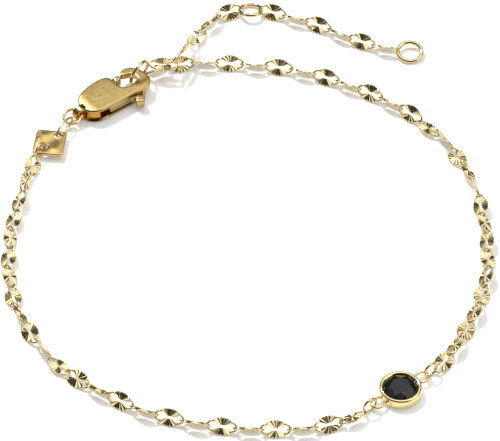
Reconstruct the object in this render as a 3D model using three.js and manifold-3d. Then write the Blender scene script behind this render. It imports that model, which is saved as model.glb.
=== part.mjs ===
// Gold starburst chain bracelet with a black stone, lying fastened on a table.
// Millimetres, +Z up, origin on the table under the middle of the whole piece.
import * as THREE from 'three';
import { mergeVertices } from 'three/addons/utils/BufferGeometryUtils.js';
import Module from 'manifold-3d';

const wasm = await Module();
wasm.setup();

// ---- driving dimensions ----

// chain: each strand is one tube, as wide as its links lying at 45 degrees
const CHAIN_ACROSS = 1.5;
const CHAIN_Z = CHAIN_ACROSS / 2;
const CHAIN_SIDES = 8;
const CHAIN_STEP = 3.0;          // length of one straight stretch of tube
const RING_CLEARANCE = 0.32;     // from a ring's wire centre to the tube's end
const FLAT_RING_CLEARANCE = 0.5;
const HOOK_RING_CLEARANCE = 0.66; // the tall hook ring bulges past the link that it holds

// clasp, in its own axes: U from tail to hook, V to the mouth side
const CLASP_PLACE = [-15.8, 18.35];
const CLASP_TURN = 37.5;         // degrees
const CLASP_THICK = 1.9;
const CLASP_EDGE = 0.14;         // rounding of the plates' edges
const SLOT_LOW = 0.34;
const SLOT_HIGH = 1.54;
const HOOK_LOW = 0.66;           // the hook's underside clears the ring below it
const HOOK_HIGH = 1.7;
const PIVOT = [-0.3, 0.6];
const PIN_RADIUS = 0.3;
const BAIL_OUTER = 0.9;
const BAIL_INNER = 0.5;
const BAIL_WIDE = 0.9;
const BAIL_U = -4.95;
const BAIL_V = -0.1;

// lever
const LEVER_LOW = 0.45;
const LEVER_HIGH = 1.36;
const GATE_HIGH = 1.62;          // the gate's end stands as high as the hook's beak
const KNOB = [1.82, -2.81];
const KNOB_WIDE = 1.06;
const KNOB_LOW = 0.45;
const KNOB_HIGH = 1.5;

// rings: half length, half height of the wire's centre line, wire thickness
const CLASP_RING = { long: 1.0, high: 1.0, wire: 0.38 };
const TAG_RING_UPPER = { long: 1.6, high: 0.85, wire: 0.28 };
const TAG_RING_LOWER = { long: 0.95, high: 0.85, wire: 0.28 };
const BEZEL_RING = { long: 0.85, high: 0.85, wire: 0.3 };
const HOOK_RING = { long: 1.59, high: 1.59, wire: 0.42 };
const HOOK_RING_LEAN = 10;       // degrees
const MID_RING = { long: 1.33, high: 1.33, wire: 0.48 };
const END_RING = { long: 1.42, high: 1.42, wire: 0.5 };
const RING_ROUND = 32;
const WIRE_SIDES = 8;

// tag
const TAG_PLACE = [-23.1, 10.5];
const TAG_TURN = -7;
const TAG_WIDE = 3.6;
const TAG_HIGH = 3.9;
const TAG_THICK = 0.42;
const TAG_Z = 0.52;
const TAG_CORNER = 0.55;
const TAG_HOLE = 0.53;
const TAG_HOLES = [[0.81, 1.12], [-0.55, -0.78]];

// bezel and stone
const BEZEL_PLACE = [16.78, -27.85];
const BEZEL_TURN = 37.5;
const BEZEL_HIGH = 1.26;
const WELL_LOW = 0.34;           // floor of the stone's seat
const WELL_HIGH = 0.96;
const WELL_RADIUS = 2.02;
const BEZEL_RIM = 2.36;
const BEZEL_BASE = 2.42;
const BEZEL_SIDES = 40;
const EAR = { long: 0.86, high: 0.72, wire: 0.32 };
const EAR_AT = 3.12;
const EAR_Z = 0.6;
const BEZEL_RING_AT = 4.3;
const STONE_RADIUS = 1.95;

// ---- where the strands run: points on their centre lines, chosen by eye ----

const RIGHT_ROUTE = [
  [-11.95, 22.15], [-8.5, 23.8], [-5.5, 23.9], [-2.5, 23.8], [0.5, 23.6], [3.5, 23.2],
  [6.4, 22.5], [9.3, 21.4], [12.0, 20.1], [14.6, 18.6], [17.1, 16.9], [19.4, 15.0],
  [21.4, 13.0], [23.0, 10.8], [24.4, 8.4], [25.4, 5.9], [26.2, 3.2], [26.7, 0.5],
  [27.0, -2.4], [27.2, -5.3], [27.2, -8.1], [26.9, -11.0], [26.2, -13.9], [25.3, -16.6],
  [24.1, -19.3], [22.6, -22.2], [20.94, -24.83],
];
const LEFT_ROUTE = [
  [12.66, -31.19], [11.3, -32.0], [8.9, -33.1], [6.0, -33.7], [3.0, -33.8], [0.1, -33.7],
  [-2.9, -33.4], [-5.8, -32.8], [-8.7, -32.1], [-11.4, -31.1], [-14.0, -29.7], [-16.5, -28.0],
  [-18.9, -26.2], [-20.9, -24.3], [-22.7, -22.0], [-24.2, -19.6], [-25.4, -17.1], [-26.3, -14.4],
  [-26.9, -11.5], [-27.2, -8.6], [-27.2, -5.8], [-27.0, -2.9], [-26.5, 0.2], [-25.9, 3.2],
  [-25.15, 6.0], [-24.67, 8.3],
];
const INNER_ROUTE = [
  [-11.4, 22.6, 2.35], [-10.0, 22.2, 2.4], [-8.4, 22.5, 2.45], [-7.6, 24.2, 2.45],
  [-7.1, 26.3, 1.7], [-6.2, 28.6, 0.9], [-4.6, 31.1, 0.8], [-2.6, 32.8, 0.8], [-1.1, 33.3, 0.8],
];
const OUTER_ROUTE = [
  [1.62, 33.1, 0.75], [4.4, 32.1, 0.75], [7.2, 31.0, 0.75], [9.9, 29.6, 0.75],
  [12.4, 28.0, 0.75], [15.0, 26.9, 0.75], [17.6, 26.3, 0.75],
];

// ---- small helpers ----

const bracelet = new THREE.Group();

function gold(roughness) {
  return new THREE.MeshStandardMaterial({ color: 0xc9a961, metalness: 1, roughness });
}

// merged positions only, as a closed solid
function solid(geometry) {
  const bare = geometry.clone();
  bare.deleteAttribute('normal');
  bare.deleteAttribute('uv');
  const merged = mergeVertices(bare, 1e-4);
  const mesh = new wasm.Mesh({
    numProp: 3,
    vertProperties: Float32Array.from(merged.attributes.position.array),
    triVerts: Uint32Array.from(merged.index.array),
  });
  mesh.merge();
  return new wasm.Manifold(mesh);
}

function geometryOf(manifold) {
  const mesh = manifold.getMesh();
  const geometry = new THREE.BufferGeometry();
  geometry.setAttribute('position', new THREE.BufferAttribute(mesh.vertProperties, 3));
  geometry.setIndex(new THREE.BufferAttribute(mesh.triVerts, 1));
  return geometry;
}

function add(name, geometry, material, parent = bracelet) {
  const mesh = new THREE.Mesh(geometry, material);
  mesh.name = name;
  parent.add(mesh);
  return mesh;
}

// a group with its own axes on the table
function placed([x, y], degrees, z = 0) {
  const group = new THREE.Group();
  group.position.set(x, y, z);
  group.rotation.z = THREE.MathUtils.degToRad(degrees);
  bracelet.add(group);
  return group;
}

function plate(shape, low, high, bevel = 0, curveSegments = 8) {
  const geometry = new THREE.ExtrudeGeometry(shape, {
    depth: high - low - 2 * bevel,
    bevelEnabled: bevel > 0,
    bevelThickness: bevel,
    bevelSize: bevel,
    bevelOffset: -bevel,
    bevelSegments: 1,
    curveSegments,
  });
  return geometry.translate(0, 0, low + bevel);
}

function disc(x, y, radius, low, high) {
  const shape = new THREE.Shape();
  shape.absarc(x, y, radius, 0, 2 * Math.PI);
  return plate(shape, low, high, 0, 12);
}

// a wire ring in the XY plane: a torus drawn out along X until it is `long` by `high`
function ring({ long, high, wire }) {
  const geometry = new THREE.TorusGeometry(high, wire / 2, WIRE_SIDES, RING_ROUND);
  const place = geometry.attributes.position;
  for (let i = 0; i < place.count; i += 1) {
    const turn = Math.atan2(place.getY(i), place.getX(i));
    place.setX(i, place.getX(i) + (long - high) * Math.cos(turn));
  }
  return geometry;
}

// the same ring stood on edge in the XZ plane
function standingRing(size) {
  return ring(size).rotateX(Math.PI / 2);
}

// ---- chain strands ----

function octagon(across) {
  const shape = new THREE.Shape();
  const corner = across / 2 / Math.cos(Math.PI / CHAIN_SIDES);
  for (let i = 0; i < CHAIN_SIDES; i += 1) {
    const turn = (i + 0.5) * 2 * Math.PI / CHAIN_SIDES;
    const draw = i === 0 ? 'moveTo' : 'lineTo';
    shape[draw](corner * Math.cos(turn), corner * Math.sin(turn));
  }
  shape.closePath();
  return shape;
}

// the stretch of a route between two ring wires, cut short by a clearance at both ends
function strand(name, route, atStart, atEnd) {
  const whole = new THREE.CatmullRomCurve3(
    route.map(([x, y, z = CHAIN_Z]) => new THREE.Vector3(x, y, z)), false, 'centripetal');
  const length = whole.getLength();
  const steps = Math.round(length / CHAIN_STEP);
  const points = [];
  for (let i = 0; i <= steps; i += 1) {
    const along = atStart + (length - atStart - atEnd) * i / steps;
    points.push(whole.getPointAt(along / length));
  }
  const curve = new THREE.CatmullRomCurve3(points, false, 'centripetal');
  const geometry = new THREE.ExtrudeGeometry(octagon(CHAIN_ACROSS), {
    steps,
    extrudePath: curve,
    bevelEnabled: false,
  });
  add(name, geometry, gold(0.3));
}

strand('chain_right', RIGHT_ROUTE, HOOK_RING_CLEARANCE, RING_CLEARANCE);
strand('chain_left', LEFT_ROUTE, RING_CLEARANCE, RING_CLEARANCE);
strand('extender_chain_inner', INNER_ROUTE, RING_CLEARANCE, FLAT_RING_CLEARANCE);
strand('extender_chain_outer', OUTER_ROUTE, FLAT_RING_CLEARANCE, FLAT_RING_CLEARANCE);

// ---- clasp ----

// flat oval body whose hook curls back to its beak on the mouth side
function claspOutline() {
  const s = new THREE.Shape();
  s.moveTo(-2.6, -2.0);
  s.lineTo(3.0, -1.95);
  s.bezierCurveTo(4.1, -1.95, 4.66, -1.2, 4.66, -0.3);
  s.bezierCurveTo(4.66, 1.1, 4.0, 2.1, 3.0, 2.1);
  s.quadraticCurveTo(2.25, 2.1, 2.12, 1.62);
  s.quadraticCurveTo(2.15, 1.3, 2.55, 1.22);
  s.bezierCurveTo(3.2, 1.1, 3.5, 0.75, 3.48, 0.2);
  s.bezierCurveTo(3.45, -0.4, 3.0, -0.62, 2.4, -0.62);
  s.lineTo(1.9, -0.62);
  s.bezierCurveTo(1.2, -0.62, 0.82, -0.2, 0.82, 0.5);
  s.lineTo(0.82, 1.5);
  s.bezierCurveTo(0.8, 2.2, 0.3, 2.44, -0.6, 2.44);
  s.bezierCurveTo(-1.8, 2.44, -3.2, 2.1, -3.9, 1.6);
  s.bezierCurveTo(-4.5, 1.15, -4.75, 0.5, -4.74, -0.2);
  s.bezierCurveTo(-4.7, -1.3, -3.9, -2.0, -2.6, -2.0);
  return s;
}

// the space between the two plates, open at the spine and at the mouth
function slotOutline() {
  const s = new THREE.Shape();
  s.moveTo(-3.0, -3);
  s.lineTo(2.75, -3);
  s.lineTo(2.75, 0.4);
  s.lineTo(1.5, 0.9);
  s.lineTo(1.5, 3);
  s.lineTo(-2.2, 3);
  s.lineTo(-2.2, 0.6);
  s.lineTo(-3.0, -0.4);
  s.closePath();
  return s;
}

function box(u0, u1, v0, v1, z0, z1) {
  const geometry = new THREE.BoxGeometry(u1 - u0, v1 - v0, z1 - z0);
  return geometry.translate((u0 + u1) / 2, (v0 + v1) / 2, (z0 + z1) / 2);
}

// strap loop at the tail, its hole running across the clasp
function bail() {
  const s = new THREE.Shape();
  s.absarc(0, 0, BAIL_OUTER, Math.PI / 2, 3 * Math.PI / 2);
  s.lineTo(0.5, -BAIL_OUTER);
  s.lineTo(0.5, -BAIL_INNER);
  s.lineTo(0, -BAIL_INNER);
  s.absarc(0, 0, BAIL_INNER, 3 * Math.PI / 2, Math.PI / 2, true);
  s.lineTo(0.5, BAIL_INNER);
  s.lineTo(0.5, BAIL_OUTER);
  s.closePath();
  const strap = plate(s, -BAIL_WIDE / 2, BAIL_WIDE / 2);
  return strap.rotateX(Math.PI / 2).translate(BAIL_U, BAIL_V, CLASP_THICK / 2);
}

// wedge-shaped room below the hook and the small step down on its top
function hookRelief() {
  const below = box(2.75, 6, -1.35, 3, -1, HOOK_LOW);
  const above = box(2.75, 6, -1.35, 3, HOOK_HIGH, 3);
  return solid(below).add(solid(above));
}

function claspBody() {
  const cast = solid(plate(claspOutline(), 0, CLASP_THICK, CLASP_EDGE, 10));
  return cast
    .subtract(hookRelief())
    .subtract(solid(plate(slotOutline(), SLOT_LOW, SLOT_HIGH)))
    .add(solid(disc(...PIVOT, PIN_RADIUS, 0.2, CLASP_THICK - 0.2)))
    .add(solid(bail()));
}

// gate arm from the pivot to the mouth, and a broad cheek that fills the slot and carries the thumb knob
function leverOutline() {
  const s = new THREE.Shape();
  s.moveTo(-1.3, 0.6);
  s.quadraticCurveTo(-1.3, 1.75, 0.0, 1.85);
  s.lineTo(1.6, 1.85);
  s.quadraticCurveTo(2.02, 1.75, 2.0, 1.4);
  s.quadraticCurveTo(1.9, 1.05, 1.5, 1.05);
  s.quadraticCurveTo(0.7, 0.9, 0.7, 0.2);
  s.quadraticCurveTo(0.75, -0.9, 2.1, -1.6);
  s.lineTo(2.25, -2.6);
  s.lineTo(1.5, -2.7);
  s.lineTo(1.2, -1.9);
  s.lineTo(-1.6, -1.86);
  s.quadraticCurveTo(-2.0, -1.8, -1.9, -1.35);
  s.quadraticCurveTo(-1.3, -0.6, -1.3, 0.6);
  return s;
}

function lever() {
  const end = new THREE.Shape();
  end.moveTo(0.95, 1.08);
  end.lineTo(1.9, 1.14);
  end.lineTo(2.0, 1.4);
  end.lineTo(1.6, 1.85);
  end.lineTo(0.95, 1.85);
  const knob = box(-KNOB_WIDE / 2, KNOB_WIDE / 2, -KNOB_WIDE / 2, KNOB_WIDE / 2, KNOB_LOW, KNOB_HIGH)
    .rotateZ(THREE.MathUtils.degToRad(-CLASP_TURN))
    .translate(...KNOB, 0);
  return solid(plate(leverOutline(), LEVER_LOW, LEVER_HIGH, 0, 8))
    .subtract(solid(disc(...PIVOT, PIN_RADIUS + 0.08, 0, 3)))
    .add(solid(plate(end, LEVER_LOW, GATE_HIGH)))
    .add(solid(knob));
}

const clasp = placed(CLASP_PLACE, CLASP_TURN);
add('clasp_body', geometryOf(claspBody()), gold(0.34), clasp);
add('clasp_lever', geometryOf(lever()), gold(0.3), clasp);

// ---- rings at both ends of the clasp ----

const claspRing = placed([-20.58, 14.66], 40);
add('clasp_ring', ring(CLASP_RING)
  .rotateX(THREE.MathUtils.degToRad(10))
  .rotateY(THREE.MathUtils.degToRad(-8))
  .translate(0, 0, 0.95), gold(0.2), claspRing);

// stands on the table through the hook, leaning a little to the right
const hookRing = placed([-12.87, 21.18], 54);
const hookLean = THREE.MathUtils.degToRad(HOOK_RING_LEAN);
add('hook_ring', standingRing(HOOK_RING)
  .rotateX(hookLean)
  .translate(0, 0, HOOK_RING.high * Math.cos(hookLean) + HOOK_RING.wire / 2), gold(0.2), hookRing);

// ---- tag ----

function tagGeometry() {
  const w = TAG_WIDE / 2;
  const h = TAG_HIGH / 2;
  const c = TAG_CORNER;
  const s = new THREE.Shape();
  s.moveTo(-w + c, -h);
  s.lineTo(w - c, -h);
  s.absarc(w - c, -h + c, c, -Math.PI / 2, 0);
  s.absarc(w - c, h - c, c, 0, Math.PI / 2);
  s.absarc(-w + c, h - c, c, Math.PI / 2, Math.PI);
  s.absarc(-w + c, -h + c, c, Math.PI, 3 * Math.PI / 2);
  for (const [x, y] of TAG_HOLES) {
    const hole = new THREE.Path();
    hole.absarc(x, y, TAG_HOLE, 0, 2 * Math.PI, true);
    s.holes.push(hole);
  }
  return plate(s, TAG_Z, TAG_Z + TAG_THICK, 0, 6);
}

add('tag', tagGeometry(), gold(0.25), placed(TAG_PLACE, TAG_TURN));

function standOnTable(name, size, place, degrees) {
  const group = placed(place, degrees);
  add(name, standingRing(size).translate(0, 0, size.high + size.wire / 2), gold(0.2), group);
}

standOnTable('tag_ring_upper', TAG_RING_UPPER, [-21.43, 12.86], 58);
standOnTable('tag_ring_lower', TAG_RING_LOWER, [-24.17, 9.11], 58);

// ---- bezel, its two ears and the stone ----

function bezelCup() {
  const wall = [
    [0, 0], [BEZEL_BASE - 0.14, 0], [BEZEL_BASE, 0.12], [BEZEL_BASE, 0.8], [BEZEL_RIM, 1.06],
    [BEZEL_RIM - 0.07, BEZEL_HIGH - 0.08], [BEZEL_RIM - 0.24, BEZEL_HIGH], [1.98, BEZEL_HIGH - 0.05],
    [1.88, BEZEL_HIGH - 0.15], [1.88, 1.04], [WELL_RADIUS, WELL_HIGH], [WELL_RADIUS, WELL_LOW],
    [0, WELL_LOW],
  ];
  return new THREE.LatheGeometry(wall.map(([r, z]) => new THREE.Vector2(r, z)), BEZEL_SIDES)
    .rotateX(Math.PI / 2);
}

function bezelGeometry() {
  let cup = solid(bezelCup());
  const well = solid(disc(0, 0, WELL_RADIUS, WELL_LOW, WELL_HIGH));
  for (const side of [-1, 1]) {
    cup = cup.add(solid(ring(EAR).translate(side * EAR_AT, 0, EAR_Z)));
  }
  return geometryOf(cup.subtract(well));
}

function stoneGeometry() {
  const cut = [
    [0, 0.4], [0.9, 0.4], [STONE_RADIUS, 0.8], [STONE_RADIUS, 0.9], [1.58, 1.2], [1.05, 1.42], [0, 1.42],
  ];
  return new THREE.LatheGeometry(cut.map(([r, z]) => new THREE.Vector2(r, z)), 16).rotateX(Math.PI / 2);
}

const setting = placed(BEZEL_PLACE, BEZEL_TURN);
add('bezel', bezelGeometry(), gold(0.15), setting);
add('stone', stoneGeometry(),
  new THREE.MeshStandardMaterial({ color: 0x16171a, metalness: 0, roughness: 0.08 }), setting);
for (const [side, name] of [[1, 'bezel_ring_right'], [-1, 'bezel_ring_left']]) {
  const lift = BEZEL_RING.high + BEZEL_RING.wire / 2;
  add(name, standingRing(BEZEL_RING).translate(side * BEZEL_RING_AT, 0, lift), gold(0.2), setting);
}

// ---- rings of the extender ----

function tiltedRing(name, size, [x, y], tilt, z) {
  const geometry = ring(size).rotateX(THREE.MathUtils.degToRad(tilt));
  add(name, geometry.translate(0, 0, z), gold(0.15), placed([x, y], 0));
}

tiltedRing('extender_mid_ring', MID_RING, [0.26, 33.2], -15, 0.59);
tiltedRing('end_ring', END_RING, [19.2, 26.1], 9, 0.48);

export default bracelet;
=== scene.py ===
import math

import bmesh
import bpy
import numpy as np
from mathutils import Matrix, Vector
from mathutils.geometry import delaunay_2d_cdt


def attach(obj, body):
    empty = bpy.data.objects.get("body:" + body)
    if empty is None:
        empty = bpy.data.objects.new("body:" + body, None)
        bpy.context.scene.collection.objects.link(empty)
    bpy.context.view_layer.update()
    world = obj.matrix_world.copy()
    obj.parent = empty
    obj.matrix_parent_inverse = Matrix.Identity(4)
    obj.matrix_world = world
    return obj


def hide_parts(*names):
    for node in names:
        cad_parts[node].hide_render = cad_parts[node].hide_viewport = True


# Looks of a gold starburst chain bracelet with a black stone, lying fastened on a white table.
# Shapes are worked out in millimetres in the row frame, and each piece turns them to metres once.

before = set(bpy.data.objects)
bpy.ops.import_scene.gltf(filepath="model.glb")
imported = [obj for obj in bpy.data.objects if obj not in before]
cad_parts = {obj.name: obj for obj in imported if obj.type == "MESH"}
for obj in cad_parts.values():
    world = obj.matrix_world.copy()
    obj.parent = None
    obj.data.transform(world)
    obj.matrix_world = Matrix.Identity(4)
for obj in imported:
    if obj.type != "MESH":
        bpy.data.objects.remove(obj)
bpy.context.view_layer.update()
chance = np.random.default_rng(11)
MM = 0.001

# ---- camera ----

CAMERA_AIM = (0.2, -1.3, 0.0)      # the middle of the view on the table
CAMERA_FAR = 500.0                 # from the aim to the lens
CAMERA_ELEVATION = 46.0            # degrees above the table
CAMERA_LENS = 314.2                # focal length
SENSOR_WIDTH = 36.0


def camera():
    """A long lens that looks along +Y and down at the table."""
    data = bpy.data.cameras.new("camera")
    data.lens = CAMERA_LENS
    data.sensor_width = SENSOR_WIDTH
    data.clip_start = 0.01
    data.clip_end = 20.0
    view = bpy.data.objects.new("camera", data)
    tilt = math.radians(CAMERA_ELEVATION)
    x, y, z = CAMERA_AIM
    view.location = (x * MM, (y - CAMERA_FAR * math.cos(tilt)) * MM, (z + CAMERA_FAR * math.sin(tilt)) * MM)
    view.rotation_euler = (math.pi / 2 - tilt, 0, 0)
    bpy.context.scene.collection.objects.link(view)
    bpy.context.scene.camera = view


# ---- meshes from arrays ----

def skin(rings, closed=False, smooth=True):
    """Quads between neighbouring rings of a grid (rings, points, 3). The last ring joins the first
    when closed, and otherwise one flat face closes each end.

    A skin is its points, the corners of all its faces in one row, the number of corners of each
    face, and whether each face is shaded smooth."""
    count, around = rings.shape[:2]
    index = np.arange(count * around).reshape(count, around)
    lower = index if closed else index[:-1]
    upper = np.roll(index, -1, axis=0) if closed else index[1:]
    quads = np.stack([lower, np.roll(lower, -1, axis=1), np.roll(upper, -1, axis=1), upper], axis=-1)
    corners, sizes, soft = quads.ravel(), np.full(lower.size, 4), np.full(lower.size, smooth)
    if not closed:
        corners = np.concatenate([corners, index[0, ::-1], index[-1]])
        sizes, soft = np.append(sizes, [around, around]), np.append(soft, [False, False])
    return rings.reshape(-1, 3), corners, sizes, soft


def many(points, corners, sizes, soft):
    """Copies of one skin: points has a row for each copy, and corners are numbered on from copy to copy."""
    copies, size = points.shape[:2]
    numbered = corners + size * np.arange(copies)[:, None]
    return points.reshape(-1, 3), numbered.ravel(), np.tile(sizes, copies), np.tile(soft, copies)


def solid(name, *skins):
    """One mesh object in millimetres from several closed skins, each turned to face outwards."""
    starts = np.cumsum([0] + [len(points) for points, *_ in skins])
    points = np.concatenate([part[0] for part in skins])
    corners = np.concatenate([part[1] + start for part, start in zip(skins, starts)])
    sizes, soft = (np.concatenate([part[k] for part in skins]) for k in (2, 3))
    mesh = bpy.data.meshes.new(name)
    mesh.vertices.add(len(points))
    mesh.vertices.foreach_set("co", points.ravel())
    mesh.loops.add(len(corners))
    mesh.loops.foreach_set("vertex_index", corners)
    mesh.polygons.add(len(sizes))
    mesh.polygons.foreach_set("loop_start", np.cumsum(sizes) - sizes)
    mesh.polygons.foreach_set("use_smooth", soft)
    mesh.update(calc_edges=True)
    work = bmesh.new()
    work.from_mesh(mesh)
    bmesh.ops.recalc_face_normals(work, faces=work.faces)
    work.to_mesh(mesh)
    work.free()
    piece = bpy.data.objects.new(name, mesh)
    bpy.context.scene.collection.objects.link(piece)
    return piece


def cut(piece, tool, operation="DIFFERENCE"):
    """Takes one closed solid from another, or joins them, and keeps only the result."""
    modifier = piece.modifiers.new("cut", "BOOLEAN")
    modifier.solver = "EXACT"
    modifier.operation = operation
    modifier.object = tool
    result = piece.evaluated_get(bpy.context.evaluated_depsgraph_get())
    mesh = bpy.data.meshes.new_from_object(result)
    piece.modifiers.clear()
    piece.data = mesh
    bpy.data.objects.remove(tool)


def finish(piece, material, slot, body, *nodes):
    """Turns a piece to metres, gives it its finish, and lets it ride in place of CAD nodes."""
    piece.data.transform(Matrix.Scale(MM, 4))
    piece.data.materials.clear()
    piece.data.materials.append(material)
    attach(piece, body)
    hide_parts(*nodes)
    return piece


def turned(points, x=0.0, y=0.0, z=0.0):
    """Points turned about X, then Y, then Z, in degrees."""
    for axis, degrees in enumerate((x, y, z)):
        c, s = math.cos(math.radians(degrees)), math.sin(math.radians(degrees))
        first, second = (axis + 1) % 3, (axis + 2) % 3
        turn = np.eye(3)
        turn[first, first] = turn[second, second] = c
        turn[first, second], turn[second, first] = -s, s
        points = points @ turn.T
    return points


def smoothstep(low, high, value):
    """0 below low, 1 above high, and a smooth rise between them."""
    t = np.clip((value - low) / (high - low), 0, 1)
    return t * t * (3 - 2 * t)


CURVE_STEPS = 24            # fine steps between two points of a spline


def spline(points, samples, closed=False):
    """Catmull-Rom curve through points, resampled at even distances.

    Between b and c, with a before and d after, it is half of
    2b + (c - a) t + (2a - 5b + 4c - d) t^2 + (3b - a - 3c + d) t^3."""
    points = np.asarray(points, float)
    if closed:
        knots = np.concatenate([points[-1:], points, points[:2]])
    else:
        knots = np.concatenate([2 * points[:1] - points[1:2], points, 2 * points[-1:] - points[-2:-1]])
    t = np.linspace(0, 1, CURVE_STEPS, endpoint=False)[None, :, None]
    a, b, c, d = (knots[i:len(knots) - 3 + i, None, :] for i in range(4))
    fine = 0.5 * (2 * b + (c - a) * t + (2 * a - 5 * b + 4 * c - d) * t**2 + (3 * b - a - 3 * c + d) * t**3)
    fine = np.concatenate([fine.reshape(-1, points.shape[1]), points[:1] if closed else points[-1:]])
    return resampled(fine, samples, closed)


def resampled(fine, samples, closed=False):
    """The same line with its points at even distances along it."""
    along = np.concatenate([[0], np.cumsum(np.linalg.norm(np.diff(fine, axis=0), axis=1))])
    wanted = np.linspace(0, along[-1], samples, endpoint=not closed)
    return np.stack([np.interp(wanted, along, column) for column in fine.T], axis=1)


# ---- starburst chain ----

LINK_LONG = 3.60            # over the wire at both ends
LINK_WIRE = 0.29
WIRE_FLATTENED = 0.2        # what is left of the wire's thickness inside the petals
LINK_HALF_WIDE = 0.72       # to the wire's centre
PETAL_THICK = 0.24
PETAL_END = 1.02            # half length of the two flattened sides
PETAL_INNER = (0.12, 0.13)  # inner edge: distance from the middle line, and how fast it curves away
PETAL_OUTER = (0.99, -0.24)
FLUTES = 6                  # diamond-cut grooves in a petal, all aimed at the link's middle
FLUTE_FAN = (16.0, 164.0)   # directions of the outermost ridges
FLUTE_SLOPE = 0.47          # steepness of a groove's two walls
LINK_REACH = 1.315          # from a ring's wire centre to the first link's middle
LINK_HALF_PITCH = 1.465
ROLL_SPREAD = 1.5           # chance differences in how links lie, in degrees
TUBE_HALF = 0.75            # half width of the CAD tube that stands for the links


def edge_radius(ray, edge, far=False):
    """Distance along a ray from the link's middle to the edge y = middle + curve x^2.

    The ray meets it where curve x^2 - tan(ray) x + middle = 0; far picks the second meeting."""
    middle, curve = edge
    c, s = np.abs(np.cos(ray)), np.sin(ray)
    root = np.sqrt(np.maximum(s**2 - 4 * curve * middle * c**2, 0))
    if far:
        return (s + root) / np.maximum(2 * curve * c**2, 1e-6)
    return 2 * middle / (s + root)


def petal_grid():
    """One petal as a grid (stations, points, 3): stations are rays from the link's middle, and a
    station's section is a bar between the two edges, rounded on both. Every other station is a
    groove's floor, thinner by the groove's slope times the distance from the middle.

    A row of rim is how far a point is in from the petal's edge, and its share of the half thickness."""
    ray = np.radians(np.linspace(*FLUTE_FAN, 2 * FLUTES + 1))
    inner = edge_radius(ray, PETAL_INNER)
    outer = np.minimum(edge_radius(ray, PETAL_OUTER), edge_radius(ray, PETAL_INNER, far=True))
    outer = np.minimum(outer, PETAL_END / np.maximum(np.abs(np.cos(ray)), 1e-6))
    groove = np.arange(len(ray)) % 2 * FLUTE_SLOPE * (ray[1] - ray[0])
    rim = np.array([(0.10, 1.0), (0.04, 0.82), (0.0, 0.4), (0.0, -0.4), (0.04, -0.82), (0.10, -1.0)])
    rim = np.concatenate([rim * (-1, 1), rim[::-1] * (0.4, 1)])
    from_edge, share = rim[:, 0], rim[:, 1]
    distance = np.where(from_edge < 0, outer[:, None], inner[:, None]) + from_edge
    distance[:, 2:4] = outer[:, None]
    distance[:, 8:10] = inner[:, None]
    height = (PETAL_THICK / 2 - groove[:, None] * distance) * share
    return np.stack([distance * np.cos(ray)[:, None], distance * np.sin(ray)[:, None], height], axis=-1)


def link_skins():
    """One link's closed skins: the wire's oval loop, flattened inside the petals, and both petals.

    At angle a along the loop and b round the wire, the loop is the oval whose half length and half
    width are grown by the wire's radius times cos b, and its height is the radius times sin b."""
    a = np.linspace(0, 2 * math.pi, 44, endpoint=False)[:, None]
    b = np.linspace(0, 2 * math.pi, 8, endpoint=False)[None, :]
    half = LINK_WIRE / 2
    x = ((LINK_LONG - LINK_WIRE) / 2 + half * np.cos(b)) * np.cos(a)
    y = (LINK_HALF_WIDE + half * np.cos(b)) * np.sin(a)
    past_petals = smoothstep(PETAL_END - 0.2, PETAL_END + 0.05, np.abs(x))
    flat = WIRE_FLATTENED + (1 - WIRE_FLATTENED) * past_petals
    loop = np.stack([x, y, half * flat * np.sin(b)], axis=-1)
    petal = petal_grid()
    return [skin(loop, closed=True), skin(petal, smooth=False), skin(petal * (-1, -1, 1), smooth=False)]


def link_places(route, rolls, slack):
    """Middles and axes of the links of a strand that lies along a route.

    Link middles are at even distances, moved on by slack times a half sine along the strand. A link
    points along the chord between its neighbours' wires, its roll turns its plane about that chord
    from lying flat, and its lower edge rests at the height of the CAD tube's underside."""
    points = np.array([(*p, TUBE_HALF) if len(p) == 2 else p for p in route])
    fine = spline(points, 2000)
    length = np.linalg.norm(np.diff(fine, axis=0), axis=1).sum()
    share = np.linspace(0, length, len(fine))
    middle = np.linspace(LINK_REACH, length - LINK_REACH, len(rolls))
    middle += slack * np.sin(np.linspace(0, math.pi, len(rolls)))

    def at(distance):
        return np.stack([np.interp(distance, share, column) for column in fine.T], axis=1)

    before, after = at(middle - LINK_HALF_PITCH), at(middle + LINK_HALF_PITCH)
    along = after - before
    along /= np.linalg.norm(along, axis=1, keepdims=True)
    left = np.cross((0, 0, 1), along)
    left /= np.linalg.norm(left, axis=1, keepdims=True)
    up = np.cross(along, left)
    roll = np.radians(np.array(rolls, float) + chance.normal(0, ROLL_SPREAD, len(rolls)))[:, None]
    out = np.cos(roll) * up + np.sin(roll) * left
    across = np.cross(out, along)
    centre = (before + after) / 2
    half_high = PETAL_OUTER[0] * np.abs(np.sin(roll[:, 0])) + PETAL_THICK / 2 * np.abs(np.cos(roll[:, 0]))
    centre[:, 2] += half_high - TUBE_HALF
    return centre, along, across, out


def strand(name, route, rolls, material, node, slack=0.0):
    """Every link of a strand, as one piece."""
    centre, along, across, out = link_places(route, rolls, slack)
    axes = np.stack([along, across, out], axis=1)
    links = []
    for points, *faces in link_skins():
        copies = points[None] @ axes + centre[:, None, :]
        links.append(many(copies, *faces))
    return finish(solid(name, *links), material, "chain_gold", "bracelet", node)


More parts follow.
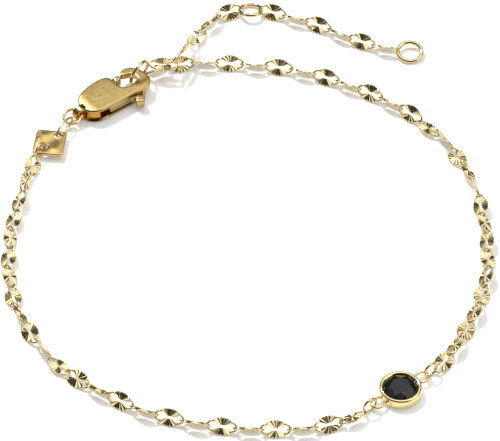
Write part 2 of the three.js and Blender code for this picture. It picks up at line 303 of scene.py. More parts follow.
# where the strands run: points on their centre lines, as in the CAD
RIGHT_ROUTE = [
    (-11.95, 22.15), (-8.5, 23.8), (-5.5, 23.9), (-2.5, 23.8), (0.5, 23.6), (3.5, 23.2),
    (6.4, 22.5), (9.3, 21.4), (12.0, 20.1), (14.6, 18.6), (17.1, 16.9), (19.4, 15.0),
    (21.4, 13.0), (23.0, 10.8), (24.4, 8.4), (25.4, 5.9), (26.2, 3.2), (26.7, 0.5),
    (27.0, -2.4), (27.2, -5.3), (27.2, -8.1), (26.9, -11.0), (26.2, -13.9), (25.3, -16.6),
    (24.1, -19.3), (22.6, -22.2), (20.94, -24.83),
]
LEFT_ROUTE = [
    (12.66, -31.19), (11.3, -32.0), (8.9, -33.1), (6.0, -33.7), (3.0, -33.8), (0.1, -33.7),
    (-2.9, -33.4), (-5.8, -32.8), (-8.7, -32.1), (-11.4, -31.1), (-14.0, -29.7), (-16.5, -28.0),
    (-18.9, -26.2), (-20.9, -24.3), (-22.7, -22.0), (-24.2, -19.6), (-25.4, -17.1), (-26.3, -14.4),
    (-26.9, -11.5), (-27.2, -8.6), (-27.2, -5.8), (-27.0, -2.9), (-26.5, 0.2), (-25.9, 3.2),
    (-25.15, 6.0), (-24.67, 8.3),
]
INNER_ROUTE = [
    (-11.4, 22.6, 2.35), (-10.0, 22.2, 2.4), (-8.4, 22.5, 2.45), (-7.6, 24.2, 2.45),
    (-7.1, 26.3, 1.7), (-6.2, 28.6, 0.9), (-4.6, 31.1, 0.8), (-2.6, 32.8, 0.8), (-1.1, 33.3, 0.8),
]
OUTER_ROUTE = [
    (1.62, 33.1, 0.75), (4.4, 32.1, 0.75), (7.2, 31.0, 0.75), (9.9, 29.6, 0.75),
    (12.4, 28.0, 0.75), (15.0, 26.9, 0.75), (17.6, 26.3, 0.75),
]

# how far each link is turned about the strand from lying flat, in degrees
RIGHT_ROLLS = [
    42, -45, 42, -45, 42, -45, 42, -45, 42, -45, 42, -46, 12, 68, -10, 40, 78,
    -33, 38, -36, 30, -35, 22, -32, 18, -34, 26,
]
LEFT_ROLLS = [
    -25, 40, -42, 45, -42, 45, -42, 45, -42, 45, -42, 25, -8, -60, 28, -50,
    15, -32, 22, -38, 20, 30, -65, -28,
]
INNER_ROLLS = [-10, 70, 80, -5, 38, -36]
OUTER_ROLLS = [-45, 42, -45, 42, -45, 42]


# ---- wire rings ----

def wire_ring(long, high, wire, seam=270.0):
    """A torus drawn out along X: the wire's centre is (long cos a, high sin a).

    At the seam, where the ring was closed and soldered, its wire is pinched by 12% in a bell-shaped
    band 2 degrees wide, and swells by 5% at 7 degrees to each side."""
    a = np.linspace(0, 2 * math.pi, 120, endpoint=False)[:, None]
    b = np.linspace(0, 2 * math.pi, 18, endpoint=False)[None, :]
    gap = np.degrees(a) - seam
    pinch = 1 - 0.12 * np.exp(-(gap / 2.0) ** 2) + 0.05 * np.exp(-((np.abs(gap) - 7.0) / 4.0) ** 2)
    radius = wire / 2 * pinch
    x = (long + radius * np.cos(b)) * np.cos(a)
    y = (high + radius * np.cos(b)) * np.sin(a)
    z = radius * np.sin(b) * np.ones_like(a)
    return np.stack([x, y, z], axis=-1)


def standing_ring(size, place, degrees, lean=0.0):
    """A wire ring stood on edge on the table, leaning by some degrees."""
    long, high, wire = size
    upright = turned(turned(wire_ring(long, high, wire), x=90), x=lean)
    return turned(upright, z=degrees) + (*place, high * math.cos(math.radians(lean)) + wire / 2)


def tilted_ring(size, place, z, degrees=0.0, x=0.0, y=0.0):
    """A wire ring lying at a slant."""
    return turned(turned(wire_ring(*size), x=x, y=y), z=degrees) + (*place, z)


def rings(material):
    """Jump rings of the clasp, tag, bezel and extender, and the big end ring. A ring's size is its
    half length and half height at the wire's centre, and the wire's thickness."""
    bezel_ring = (0.85, 0.85, 0.30)
    along = np.array([math.cos(math.radians(BEZEL_TURN)), math.sin(math.radians(BEZEL_TURN))])
    bezel_at = np.array(BEZEL_PLACE)
    rows = {
        "clasp_ring": tilted_ring((1.0, 1.0, 0.36), (-20.58, 14.66), 0.95, degrees=40, x=10, y=-8),
        "hook_ring": standing_ring((1.59, 1.59, 0.41), (-12.87, 21.18), 54, lean=10),
        "tag_ring_upper": standing_ring((1.6, 0.85, 0.27), (-21.43, 12.86), 58),
        "tag_ring_lower": standing_ring((0.95, 0.85, 0.27), (-24.17, 9.11), 58),
        "bezel_ring_right": standing_ring(bezel_ring, bezel_at + BEZEL_RING_AT * along, BEZEL_TURN),
        "bezel_ring_left": standing_ring(bezel_ring, bezel_at - BEZEL_RING_AT * along, BEZEL_TURN),
        "extender_mid_ring": tilted_ring((1.33, 1.33, 0.47), (0.26, 33.2), 0.59, x=-15),
        "end_ring": tilted_ring((1.42, 1.42, 0.49), (19.2, 26.1), 0.48, x=9),
    }
    for node, grid in rows.items():
        ring = solid(node + "_wire", skin(grid, closed=True))
        finish(ring, material, "ring_gold", "bracelet", node)


# ---- cast plates: clasp, lever and tag ----

def outline(start, *moves, samples=260):
    """A closed line of straight, quadratic and cubic stretches. Each move lists its control points."""
    fine, here = [], np.array(start, float)
    t = np.linspace(0, 1, 40, endpoint=False)[:, None]
    for move in moves:
        control = [here, *(np.array(p, float) for p in move)]
        here = control[-1]
        while len(control) > 1:
            control = [a * (1 - t) + b * t for a, b in zip(control, control[1:])]
        fine.append(np.broadcast_to(control[0], (len(t), 2)))
    return resampled(np.concatenate([*fine, here[None]]), samples, closed=True)


def inward(line):
    """Unit directions to the inside of a closed line that runs anticlockwise."""
    along = np.roll(line, -1, axis=0) - np.roll(line, 1, axis=0)
    along /= np.linalg.norm(along, axis=1, keepdims=True)
    return np.stack([-along[:, 1], along[:, 0]], axis=1)


def inside(points, line):
    """True for points that an upward line from them crosses the closed line an odd number of times."""
    x, y = points[:, :1], points[:, 1:]
    x0, y0 = line.T
    x1, y1 = np.roll(line, -1, axis=0).T
    crosses = (x0 > x) != (x1 > x)
    level = y0 + (x - x0) * (y1 - y0) / np.where(x1 == x0, 1e-9, x1 - x0)
    return (crosses & (y < level)).sum(axis=1) % 2 == 1


def cover(line, spacing):
    """Fills a closed line with triangles through a lattice of inner points."""
    low, high = line.min(axis=0), line.max(axis=0)
    lattice = np.stack(np.meshgrid(*(np.arange(a, b, spacing) for a, b in zip(low, high))), axis=-1)
    lattice = lattice.reshape(-1, 2)
    lattice = lattice[inside(lattice, line)]
    near = np.linalg.norm(lattice[:, None] - line[None], axis=2).min(axis=1)
    flat = np.concatenate([line, lattice[near > 0.6 * spacing]])
    index = np.arange(len(line))
    edges = np.stack([index, np.roll(index, -1)], axis=1).tolist()
    _, _, triangles, kept, _, _ = delaunay_2d_cdt([Vector(p) for p in flat.tolist()], edges, [], 1, 1e-7)
    return flat, np.array([sources[0] for sources in kept])[np.array(triangles)]


def cast_plate(line, profile, top, bottom, spacing=0.22):
    """A plate with worked edges and gently shaped faces.

    profile rows are (inset, share of the height); inset may differ from point to point. top and
    bottom give the heights of the two faces at any place in the plane."""
    aim = inward(line)
    rows = []
    for inset, share in profile:
        flat = line + aim * np.broadcast_to(inset, (len(line),))[:, None]
        low, high = bottom(flat), top(flat)
        rows.append(np.concatenate([flat, (low + (high - low) * share)[:, None]], axis=1))
    band = np.stack(rows)
    count, around = band.shape[:2]
    start = count * around
    index = np.arange(start).reshape(count, around)
    quads = np.stack([index[:-1], np.roll(index[:-1], -1, 1), np.roll(index[1:], -1, 1), index[1:]], -1)
    points, corners, sizes = [band.reshape(-1, 3)], [quads.ravel()], [np.full(quads.size // 4, 4)]
    for edge, height, first in ((band[0], bottom, 0), (band[-1], top, start - around)):
        flat, triangles = cover(edge[:, :2], spacing)
        inner = flat[around:]
        points.append(np.concatenate([inner, height(inner)[:, None]], axis=1))
        corners.append((triangles + np.where(triangles < around, first, start - around)).ravel())
        sizes.append(np.full(len(triangles), 3))
        start += len(inner)
    sizes = np.concatenate(sizes)
    return np.concatenate(points), np.concatenate(corners), sizes, np.full(len(sizes), True)


def rounded_edge(radius, thick, steps=5):
    """Profile rows of a plate whose edges are quarter circles."""
    turn = np.linspace(0, math.pi / 2, steps)
    inset = radius * (1 - np.sin(turn))
    rise = radius * (1 - np.cos(turn)) / thick
    lower = list(zip(inset, rise))
    return lower + [(a, 1 - b) for a, b in reversed(lower)]


def level(height):
    """A flat face at that height."""
    return lambda flat: np.full(len(flat), float(height))


def prism(line, low, high):
    """A straight-sided cutting tool."""
    rings_of_points = [np.concatenate([line, np.full((len(line), 1), z)], axis=1) for z in (low, high)]
    return skin(np.stack(rings_of_points), smooth=False)


def circle(x, y, radius, samples=48):
    """A closed round line."""
    turn = np.linspace(0, 2 * math.pi, samples, endpoint=False)
    return np.stack([x + radius * np.cos(turn), y + radius * np.sin(turn)], axis=1)


# ---- clasp ----

CLASP_PLACE = (-15.8, 18.35)    # where the clasp's own axes start, with their X towards the hook
CLASP_TURN = 37.5               # degrees, as for the tag and the bezel
CLASP_THICK = 1.9
CLASP_EDGES = (0.08, 0.2)       # roundness of the lower and the upper edge
CHANNEL_DEEP = 0.46             # the hollow between the two plates at the tail
SLOT = (0.34, 1.54)             # heights of its floor and its roof
HOOK_LOW = 1.05                 # underside of the hook and the nose
HOOK_DROP = 0.08                # the hook's upper face lies that much below the body's
PIVOT = (-0.3, 0.6)
PIN_RADIUS, BORE_RADIUS = 0.3, 0.38
LEVER = (0.45, 1.36)            # heights of the lever's two faces
GATE_HIGH = 1.62                # the gate's end is that high, to meet the raised hook
KNOB = (1.82, -2.81)
KNOB_WIDE = 1.06
KNOB_Z = (0.45, 1.5)
BAIL = dict(u=-4.95, v=-0.1, outer=0.9, inner=0.5, wide=0.9)    # place, radii and width of the strap loop


def on_clasp(skinned):
    """A skin in the clasp's own axes, turned and put where the clasp lies."""
    points, *faces = skinned
    return turned(points, z=CLASP_TURN) + (*CLASP_PLACE, 0), *faces


def clasp_outline():
    """Flat oval body whose hook curls back to its beak on the mouth side."""
    return outline(
        (-2.6, -2.0),
        [(3.0, -1.95)],
        [(4.1, -1.95), (4.66, -1.2), (4.66, -0.3)],
        [(4.66, 1.1), (4.0, 2.1), (3.0, 2.1)],
        [(2.25, 2.1), (2.12, 1.62)],
        [(2.15, 1.3), (2.55, 1.22)],
        [(3.2, 1.1), (3.5, 0.75), (3.48, 0.2)],
        [(3.45, -0.4), (3.0, -0.62), (2.4, -0.62)],
        [(1.9, -0.62)],
        [(1.2, -0.62), (0.82, -0.2), (0.82, 0.5)],
        [(0.82, 1.5)],
        [(0.8, 2.2), (0.3, 2.44), (-0.6, 2.44)],
        [(-1.8, 2.44), (-3.2, 2.1), (-3.9, 1.6)],
        [(-4.5, 1.15), (-4.75, 0.5), (-4.74, -0.2)],
        [(-4.7, -1.3), (-3.9, -2.0), (-2.6, -2.0)],
    )


def hook_share(flat):
    """0 on the clasp's body, 1 on the hook beyond the mouth."""
    u, v = flat.T
    beak = smoothstep(1.7, 2.0, u) * smoothstep(0.5, 1.1, v)
    return np.maximum(smoothstep(2.0, 3.6, u), beak) * smoothstep(-1.8, -0.2, v)


def clasp_top(flat):
    """The upper face: a low crown that falls away at the tail, and a step down on the hook."""
    crown = 0.05 * (1 - (flat[:, 1] / 2.3) ** 2) - 0.05
    tail = 0.12 * smoothstep(-3.5, -5.2, flat[:, 0])
    return CLASP_THICK + crown - tail - HOOK_DROP * hook_share(flat)


def clasp_bottom(flat):
    """The underside: flat on the table, and raised under the hook and the nose."""
    return HOOK_LOW * np.maximum(hook_share(flat), smoothstep(2.78, 3.45, flat[:, 0]))


def clasp_body(material):
    """Cast body: an oval plate with a channel round its tail, cut through by the lever's slot,
    with the pin across the slot and the strap loop at the tail.

    The channel's rows slope in from the lower edge and turn back sharply below the upper plate.
    Their inset is multiplied by deep, which is 1 round the tail and 0 on the rest of the outline."""
    line = clasp_outline()
    deep = smoothstep(-1.6, -2.2, line[:, 0]) * smoothstep(-5.2, -4.6, line[:, 0] - line[:, 1] * 0.6)
    lower, upper = (rounded_edge(edge, CLASP_THICK) for edge in CLASP_EDGES)
    channel = [(0, 0.112), (0.06 * deep, 0.13), (0.16 * deep, 0.18), (0.28 * deep, 0.38),
               (0.40 * deep, 0.62), (CHANNEL_DEEP * deep, 0.76), (0.04 * deep, 0.81), (0, 0.84)]
    profile = lower[:5] + channel + upper[5:]
    body = solid("clasp_cast", on_clasp(cast_plate(line, profile, clasp_top, clasp_bottom)))
    slot = np.array([
        (-3.35, -3.2), (2.75, -3.2), (2.75, 0.4), (1.5, 0.9),
        (1.5, 3.2), (-2.2, 3.2), (-2.2, 0.6), (-3.0, -0.4)])
    cut(body, solid("slot", on_clasp(prism(slot, *SLOT))))
    cut(body, solid("pin", on_clasp(prism(circle(*PIVOT, PIN_RADIUS), 0.3, CLASP_THICK - 0.3))), "UNION")
    cut(body, solid("bail", on_clasp(bail())), "UNION")
    # the channel and the slot are marked for painted shade in the clasp's finish
    mark_recess_shade(body, line)
    return finish(body, material, "clasp_gold", "bracelet", "clasp_body")


def mark_recess_shade(body, line):
    """Marks the points of the channel and the slot, where the clasp's gold gets painted shade, a deeper
    colour: 1 well inside the outline and between the faces, 0 on the outer skin."""
    count = len(body.data.vertices)
    points = np.empty(count * 3)
    body.data.vertices.foreach_get("co", points)
    own = turned(points.reshape(-1, 3) - (*CLASP_PLACE, 0), z=-CLASP_TURN)
    near = np.linalg.norm(own[:, None, :2] - line[None], axis=2).min(axis=1)
    between = smoothstep(0.26, 0.34, own[:, 2]) * smoothstep(1.66, 1.58, own[:, 2])
    tail_side = smoothstep(-1.0, -1.8, own[:, 0])
    mark = body.data.attributes.new("recess_shade", "FLOAT", "POINT")
    mark.data.foreach_set("value", smoothstep(0.05, 0.16, near) * between * tail_side)


def bail():
    """Strap loop: a rounded strip carried round half a circle, with its two ends in the tail.

    The strip's section is a squared oval: half its size times the sine and cosine, raised to small powers."""
    mean, half = (BAIL["outer"] + BAIL["inner"]) / 2, (BAIL["outer"] - BAIL["inner"]) / 2
    arc = np.linspace(math.pi / 2, 3 * math.pi / 2, 33)
    path = np.stack([mean * np.cos(arc), mean * np.sin(arc)], axis=1)
    path = np.concatenate([[(0.5, mean)], path, [(0.5, -mean)]])
    out = np.concatenate([[(0, 1)], np.stack([np.cos(arc), np.sin(arc)], axis=1), [(0, -1)]])
    turn = np.linspace(0, 2 * math.pi, 24, endpoint=False)
    thick = half * np.sign(np.sin(turn)) * np.abs(np.sin(turn)) ** 0.35
    wide = BAIL["wide"] / 2 * np.sign(np.cos(turn)) * np.abs(np.cos(turn)) ** 0.3
    flat = path[:, None] + out[:, None] * thick[None, :, None]
    across = np.broadcast_to(wide, flat.shape[:2])
    points = np.stack([flat[..., 0] + BAIL["u"], across + BAIL["v"], flat[..., 1] + CLASP_THICK / 2], axis=-1)
    return skin(points)


def clasp_lever(material):
    """Gate arm from the pivot to the mouth, a broad cheek that fills the slot, and its thumb knob,
    which is a square block with rounded corners that stands square to the table's edges."""
    line = outline(
        (-1.3, 0.6),
        [(-1.3, -0.6), (-1.9, -1.35)],
        [(-2.0, -1.8), (-1.6, -1.86)],
        [(0.9, -1.9)],
        [(1.35, -1.9), (1.42, -2.3)],
        [(1.5, -2.9), (2.3, -2.9), (2.12, -1.7)],
        [(0.75, -0.9), (0.7, 0.2)],
        [(0.7, 0.9), (1.5, 1.05)],
        [(1.9, 1.05), (2.0, 1.4)],
        [(2.02, 1.75), (1.6, 1.85)],
        [(0.0, 1.85)],
        [(-1.3, 1.75), (-1.3, 0.6)],
        samples=200,
    )

    def upper(flat):
        gate_end = smoothstep(0.95, 1.2, flat[:, 0]) * smoothstep(0.7, 1.0, flat[:, 1])
        return LEVER[1] + (GATE_HIGH - LEVER[1]) * gate_end

    edge = rounded_edge(0.1, LEVER[1] - LEVER[0], 4)
    piece = solid("clasp_gate", on_clasp(cast_plate(line, edge, upper, level(LEVER[0]), 0.16)))
    cut(piece, solid("bore", on_clasp(prism(circle(*PIVOT, BORE_RADIUS), 0, 3))))
    round_line = circle(0, 0, 1.0, 72)
    block = KNOB_WIDE / 2 * np.sign(round_line) * np.abs(round_line) ** 0.45
    block = turned(np.insert(block, 2, 0.0, axis=1), z=-CLASP_TURN)[:, :2] + KNOB
    knob = cast_plate(block, rounded_edge(0.1, KNOB_Z[1] - KNOB_Z[0], 4), level(KNOB_Z[1]), level(KNOB_Z[0]))
    cut(piece, solid("knob", on_clasp(knob)), "UNION")
    return finish(piece, material, "lever_gold", "lever", "clasp_lever")


# ---- tag ----

TAG_PLACE = (-23.1, 10.5)
TAG_TURN = -7.0
TAG_HALF = (1.8, 1.95)
TAG_Z = (0.52, 0.94)            # heights of its two faces, propped up by its rings
TAG_CORNER = 0.55
TAG_HOLE = 0.53                 # radius of each hole
TAG_HOLES = ((0.81, 1.12), (-0.55, -0.78))
FOLD_DEEP, FOLD_RATE = 0.07, 2.2
BEVEL_DEEP, BEVEL_WIDE = 0.10, 0.6


def tag(material):
    """Bare square plate with rounded corners and edges and a hole for each ring.

    Its face dips by a cosine of the distance across the folds, fading out at the rim, and falls
    away in a bevel on the left."""
    w, h, c = *TAG_HALF, TAG_CORNER
    line = outline(
        (-w + c, -h), [(w - c, -h)], [(w, -h), (w, -h + c)], [(w, h - c)], [(w, h), (w - c, h)],
        [(-w + c, h)], [(-w, h), (-w, h - c)], [(-w, -h + c)], [(-w, -h), (-w + c, -h)],
    )

    def face(flat):
        away = np.maximum(np.abs(flat[:, 0]) / w, np.abs(flat[:, 1]) / h)
        fold = flat @ (0.8, -0.6)
        dish = FOLD_DEEP * smoothstep(0.95, 0.4, away) * np.cos(FOLD_RATE * fold)
        return TAG_Z[1] - dish - BEVEL_DEEP * smoothstep(-w + BEVEL_WIDE, -w, flat[:, 0])

    plate = cast_plate(line, rounded_edge(0.12, TAG_Z[1] - TAG_Z[0], 4), face, level(TAG_Z[0]), 0.16)
    piece = solid("tag_plate", plate)
    for x, y in TAG_HOLES:
        cut(piece, solid("hole", prism(circle(x, y, TAG_HOLE), 0, 1.5)))
    turn = Matrix.Rotation(math.radians(TAG_TURN), 4, "Z")
    piece.data.transform(Matrix.Translation((*TAG_PLACE, 0)) @ turn)
    return finish(piece, material, "tag_gold", "bracelet", "tag")


# ---- bezel and stone ----

BEZEL_PLACE = (16.78, -27.85)
BEZEL_TURN = 37.5
BEZEL_RING_AT = 4.3             # from the bezel's axis to the middle of a jump ring
EAR_AT = 3.12                   # and to the middle of an ear
EAR = (0.86, 0.72, 0.30)        # half length, half width and wire
EAR_Z = 0.6
CUP_FLOOR = (1.4, 0.02, 0.32)   # radius, underside and upper side
STONE_TURN = 5.4                # degrees


def on_bezel(points):
    """Points in the bezel's own axes, turned and put where it lies."""
    return turned(points, z=BEZEL_TURN) + (*BEZEL_PLACE, 0)


def lathe(profile, around=144):
    """A closed profile of (radius, height) points carried round the Z axis."""
    turn = np.linspace(0, 2 * math.pi, around, endpoint=False)[:, None]
    radius, height = profile[None, :, 0], profile[None, :, 1]
    return np.stack([radius * np.cos(turn), radius * np.sin(turn), height + 0 * turn], axis=-1)


def bezel(material):
    """Cup with a gently swelling wall, a floor, two ears, and a rim pressed over the stone's edge.
    The wall's points are (radius, height), up the outside, over the rim and down the inside."""
    wall = spline([
        (1.2, 0.0), (2.1, 0.0), (2.30, 0.02), (2.39, 0.12), (2.42, 0.30), (2.43, 0.55), (2.41, 0.80),
        (2.38, 0.98), (2.36, 1.08), (2.31, 1.17), (2.22, 1.23), (2.12, 1.25), (2.02, 1.22), (1.94, 1.17),
        (1.89, 1.12), (1.86, 1.07), (1.92, 1.04), (2.00, 0.98), (2.00, 0.7), (1.98, 0.36), (1.2, 0.34),
    ], 110, closed=True)
    radius, *heights = CUP_FLOOR
    points, *faces = prism(circle(0, 0, radius, 96), *heights)
    skins = [skin(on_bezel(lathe(wall)), closed=True), (on_bezel(points), *faces)]
    for side in (-1, 1):
        ear = wire_ring(*EAR) + (side * EAR_AT, 0, EAR_Z)
        skins.append(skin(on_bezel(ear), closed=True))
    return finish(solid("bezel_cup", *skins), material, "bezel_gold", "bracelet", "bezel")


def stone(material):
    """Round brilliant: an eight-sided table, star, kite and break facets down to a girdle of
    sixteen corners, and a pointed pavilion. A kite is flat when the star corners lie on the line
    from the table to the girdle, at the distance that the half angle gives."""
    table, star, girdle = 1.10, 1.60, 1.95              # radii to the corners
    top, edge, under, tip = 1.45, 1.00, 0.90, 0.42      # heights of the table, girdle and tip
    half = math.pi / 8
    star_z = top + (edge - top) * (star * math.cos(half) - table) / (girdle - table)

    def ring_of(radius, height, count, offset=0.0):
        turn = offset + np.arange(count) * 2 * math.pi / count
        return np.stack([radius * np.cos(turn), radius * np.sin(turn), np.full(count, height)], axis=1)

    points = np.concatenate([
        ring_of(table, top, 8), ring_of(star, star_z, 8, half), ring_of(girdle, edge, 16),
        ring_of(girdle, under, 16), [(0, 0, tip)],
    ])
    on_table, on_star, on_girdle, on_under, on_tip = 0, 8, 16, 32, 48   # each ring's first corner
    faces = [list(range(8))]
    for k in range(8):
        after, before = (k + 1) % 8, (k - 1) % 8
        first, middle, last = (on_girdle + (2 * k + step) % 16 for step in range(3))
        faces.append([on_table + k, on_star + k, on_table + after])
        faces.append([on_table + k, on_star + before, first, on_star + k])
        faces.append([on_star + k, first, middle])
        faces.append([on_star + k, middle, last])
    for k in range(16):
        after = (k + 1) % 16
        faces.append([on_girdle + k, on_under + k, on_under + after, on_girdle + after])
        faces.append([on_under + k, on_tip, on_under + after])
    sizes = np.array([len(face) for face in faces])
    places = on_bezel(turned(points, z=STONE_TURN))
    cut_stone = solid("black_stone", (places, np.concatenate(faces), sizes, np.full(len(sizes), False)))
    return finish(cut_stone, material, "stone", "bracelet", "stone")


# ---- finishes ----

MIX_FROM, MIX_TO, MIX_RESULT = 6, 7, 2      # the colour sockets of a Mix node, which share their names
DENT_DEEP = 0.03                            # deepest dent in gold
TABLE_GLOW = 0.26


def linear(hex_colour):
    """An sRGB hex value as linear red, green, blue and full alpha."""
    value = np.array([int(hex_colour[i:i + 2], 16) for i in (1, 3, 5)]) / 255
    low, high = value / 12.92, ((value + 0.055) / 1.055) ** 2.4
    return (*np.where(value <= 0.04045, low, high).tolist(), 1.0)


def add(tree, kind, inputs=(), **settings):
    """Adds a node with its settings. An input is a value, or another node's output to link."""
    made = tree.nodes.new(kind)
    for name, value in settings.items():
        setattr(made, name, value)
    for socket, value in dict(inputs).items():
        if isinstance(value, bpy.types.NodeSocket):
            tree.links.new(value, made.inputs[socket])
        else:
            made.inputs[socket].default_value = value
    return made


def per_metre(size_mm):
    """Noise scale whose features are that many millimetres across."""
    return 1 / (size_mm * MM)


def new_material(name):
    """An empty material and its node tree."""
    material = bpy.data.materials.new(name)
    material.use_nodes = True
    material.node_tree.nodes.clear()
    return material, material.node_tree


def mottled(tree, size_mm, deep, pale, detail=3.0):
    """Soft clouds of that size on the piece, and a colour that wanders with them from deep to pale."""
    place = add(tree, "ShaderNodeTexCoord").outputs["Object"]
    cloud = add(tree, "ShaderNodeTexNoise", {
        "Vector": place, "Scale": per_metre(size_mm), "Detail": detail}).outputs["Fac"]
    colour = add(tree, "ShaderNodeMix", {
        "Factor": cloud, MIX_FROM: linear(deep), MIX_TO: linear(pale)}, data_type="RGBA").outputs[MIX_RESULT]
    return cloud, colour


def gold(name, pale, deep, rough, grain_mm, mark_mm, bump):
    """Yellow gold. The colour wanders between two alloys' hues in clouds of mark_mm, the polish
    varies with it from rough[0] to rough[1], and grain of grain_mm dents the surface. Real
    polishing marks are finer, and the grain is drawn as coarse as it needs to show."""
    material, tree = new_material(name)
    cloud, colour = mottled(tree, mark_mm, deep, pale)
    place = add(tree, "ShaderNodeTexCoord").outputs["Object"]
    grain = add(tree, "ShaderNodeTexNoise", {"Vector": place, "Scale": per_metre(grain_mm), "Detail": 2.0})
    polish = add(tree, "ShaderNodeMapRange", {
        "Value": cloud, "From Min": 0.3, "From Max": 0.7, "To Min": rough[0], "To Max": rough[1]})
    dent = add(tree, "ShaderNodeBump", {
        "Height": grain.outputs["Fac"], "Strength": bump, "Distance": DENT_DEEP * MM})
    shader = add(tree, "ShaderNodeBsdfPrincipled", {
        "Base Color": colour, "Metallic": 1.0,
        "Roughness": polish.outputs["Result"], "Normal": dent.outputs["Normal"]}, name="gold")
    add(tree, "ShaderNodeOutputMaterial", {"Surface": shader.outputs["BSDF"]})
    return material


def rub_and_shade_recess(material, burnished, recess_shade):
    """Rubs a gold bright where it doesn't lie level, down to the burnished roughness, and gives the points
    marked as a recess painted shade: the deeper colour of gold that light reaches only after bouncing."""
    tree = material.node_tree
    shader = tree.nodes["gold"]
    colour, polish = (shader.inputs[name].links[0].from_socket for name in ("Base Color", "Roughness"))
    facing = add(tree, "ShaderNodeSeparateXYZ", {0: add(tree, "ShaderNodeTexCoord").outputs["Normal"]})
    rubbed = add(tree, "ShaderNodeMapRange", {
        "Value": facing.outputs["Z"], "From Min": 0.93, "From Max": 0.995,
        "To Min": burnished, "To Max": polish})
    # painted shade: the marked channel and slot turn a deeper amber
    shade_mask = add(tree, "ShaderNodeAttribute", attribute_name="recess_shade").outputs["Fac"]
    painted_shade = add(tree, "ShaderNodeMix", {
        "Factor": shade_mask, MIX_FROM: colour, MIX_TO: linear(recess_shade)}, data_type="RGBA")
    tree.links.new(rubbed.outputs["Result"], shader.inputs["Roughness"])
    tree.links.new(painted_shade.outputs[MIX_RESULT], shader.inputs["Base Color"])
    return material


def black_onyx():
    """Black onyx, faceted and polished: near black inside, with sharp glassy reflections that make
    each facet one flat tone."""
    material, tree = new_material("black_onyx")
    cloud, colour = mottled(tree, 0.9, "#080805", "#17170E")
    polish = add(tree, "ShaderNodeMapRange", {"Value": cloud, "To Min": 0.03, "To Max": 0.09})
    shader = add(tree, "ShaderNodeBsdfPrincipled", {
        "Base Color": colour, "IOR": 1.50, "Roughness": polish.outputs["Result"]})
    add(tree, "ShaderNodeOutputMaterial", {"Surface": shader.outputs["BSDF"]})
    return material


def lit_acrylic():
    """White acrylic product table, cast, matt on top and lit a little from below, which keeps
    shadows pale."""
    material, tree = new_material("lit_white_acrylic")
    _, colour = mottled(tree, 40.0, "#F4F4F5", "#F7F7F7", detail=2.0)
    shader = add(tree, "ShaderNodeBsdfPrincipled", {
        "Base Color": colour, "Roughness": 0.7, "Emission Color": colour, "Emission Strength": TABLE_GLOW})
    add(tree, "ShaderNodeOutputMaterial", {"Surface": shader.outputs["BSDF"]})
    return material


# ---- table, light and air ----

TABLE_REACH = 3000.0


def table():
    """The pale table top, far wider than the view."""
    reach = TABLE_REACH * MM
    mesh = bpy.data.meshes.new("table")
    corners = [(-reach, -reach, 0), (reach, -reach, 0), (reach, reach, 0), (-reach, reach, 0)]
    mesh.from_pydata(corners, [], [[0, 1, 2, 3]])
    mesh.materials.append(lit_acrylic())
    top = bpy.data.objects.new("table", mesh)
    bpy.context.scene.collection.objects.link(top)


def softbox(name, place, size, power):
    """A flat light that faces the middle of the table. Places and sizes are in metres."""
    data = bpy.data.lights.new(name, "AREA")
    data.shape = "RECTANGLE"
    data.size, data.size_y = size
    data.energy = power
    light = bpy.data.objects.new(name, data)
    light.location = place
    light.rotation_euler = (-Vector(place)).to_track_quat("-Z", "Y").to_euler()
    bpy.context.scene.collection.objects.link(light)


# parts of the tent: direction, half angles in degrees where its light is full and where it ends,
# and how much it adds to the room's light, or takes from it
TENT_PARTS = [
    ((0.20, 0.22, 0.94), 13, 41, 1.10),     # large box overhead, a little to the right
    ((0.0, -0.80, 0.60), 28, 50, -1.20),    # the dark side that the table is seen from
    ((0.80, -0.25, 0.53), 12, 30, 0.90),    # tall strip box on the right
    ((-0.55, -0.30, 0.78), 12, 34, -0.08),  # black flag, high on the left
]
TENT_WALLS = (0.07, 0.50)                   # the room's light low on the walls, and high up
TENT_RISE = (0.30, 0.85)                    # sines of the heights where it starts and stops rising
TENT_LEAST = 0.03
BACKDROP = 1.0                              # what the eye itself sees beyond the table


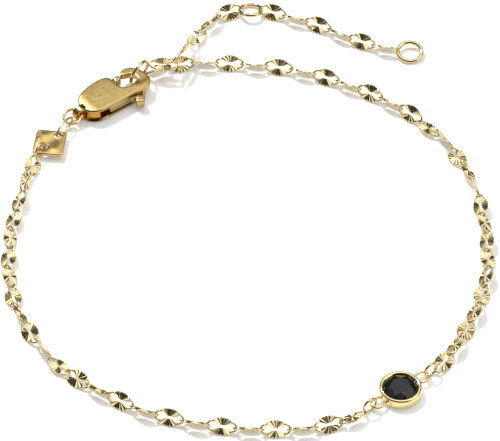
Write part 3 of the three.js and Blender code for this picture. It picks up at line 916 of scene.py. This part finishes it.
def surroundings():
    """A white room with lit and dark parts. Each part fades from its full angle to its end angle."""
    world = bpy.data.worlds.new("tent")
    world.use_nodes = True
    tree = world.node_tree
    tree.nodes.clear()
    toward = add(tree, "ShaderNodeTexCoord").outputs["Generated"]
    height = add(tree, "ShaderNodeSeparateXYZ", {0: toward})
    total = add(tree, "ShaderNodeMapRange", {
        "Value": height.outputs["Z"], "From Min": TENT_RISE[0], "From Max": TENT_RISE[1],
        "To Min": TENT_WALLS[0], "To Max": TENT_WALLS[1]}, interpolation_type="SMOOTHSTEP")
    for direction, full, end, strength in TENT_PARTS:
        facing = add(tree, "ShaderNodeVectorMath", {
            0: toward, 1: Vector(direction).normalized()}, operation="DOT_PRODUCT")
        part = add(tree, "ShaderNodeMapRange", {
            "Value": facing.outputs["Value"], "From Min": math.cos(math.radians(end)),
            "From Max": math.cos(math.radians(full)), "To Max": strength}, interpolation_type="SMOOTHSTEP")
        total = add(tree, "ShaderNodeMath", {0: part.outputs["Result"], 1: total.outputs[0]}, operation="ADD")
    total = add(tree, "ShaderNodeMath", {0: total.outputs[0], 1: TENT_LEAST}, operation="MAXIMUM")
    white = (1.0, 1.0, 1.0, 1.0)
    lit = add(tree, "ShaderNodeBackground", {"Color": white, "Strength": total.outputs[0]})
    seen = add(tree, "ShaderNodeBackground", {"Color": white, "Strength": BACKDROP})
    eye = add(tree, "ShaderNodeLightPath").outputs["Is Camera Ray"]
    either = add(tree, "ShaderNodeMixShader", {0: eye, 1: lit.outputs[0], 2: seen.outputs[0]})
    add(tree, "ShaderNodeOutputWorld", {"Surface": either.outputs[0]})
    bpy.context.scene.world = world


def studio():
    """Soft key light from the back left, and the tent's light all round."""
    surroundings()
    softbox("key", (-0.37, 0.56, 0.84), (0.13, 0.13), 7.4)
    bpy.context.scene.view_settings.view_transform = "Standard"


# ---- the bracelet ----

camera()

# diamond-cut: each wall of a groove is a small clean mirror, so a petal flashes pale and dark
chain_gold = gold("diamond_cut_gold", "#F8E8BA", "#EAD59F", (0.06, 0.12), 0.05, 0.6, 0.05)
# drawn wire, polished after soldering: one bright line along it, and slightly warmer than the links
wire_gold = gold("drawn_gold_wire", "#EEDAA8", "#E0C68A", (0.05, 0.10), 0.08, 0.5, 0.08)
# cast, then tumbled: level faces are satin with a fine skin, and edges and walls are rubbed bright
satin_gold = gold("tumbled_cast_gold", "#C1A770", "#B79C62", (0.24, 0.30), 0.05, 0.5, 0.25)
# the channel and the slot get painted shade, a deeper amber gold
rub_and_shade_recess(satin_gold, burnished=0.15, recess_shade="#C48C3C")
# stamped from sheet: half bright, with the faint waviness of rolled metal
plate_gold = gold("stamped_gold_sheet", "#D8BB80", "#C9A868", (0.14, 0.24), 0.06, 0.6, 0.25)
# burnished by a tool pressed round the stone: smooth, pale and bright
burnished_gold = gold("burnished_gold", "#F8E6B6", "#EFD69A", (0.08, 0.15), 0.08, 0.7, 0.08)

strand("chain_right_links", RIGHT_ROUTE, RIGHT_ROLLS, chain_gold, "chain_right", slack=0.6)
strand("chain_left_links", LEFT_ROUTE, LEFT_ROLLS, chain_gold, "chain_left", slack=-0.15)
strand("extender_inner_links", INNER_ROUTE, INNER_ROLLS, chain_gold, "extender_chain_inner")
strand("extender_outer_links", OUTER_ROUTE, OUTER_ROLLS, chain_gold, "extender_chain_outer")
rings(wire_gold)
clasp_body(satin_gold)
clasp_lever(satin_gold)
tag(plate_gold)
bezel(burnished_gold)
stone(black_onyx())
table()
studio()
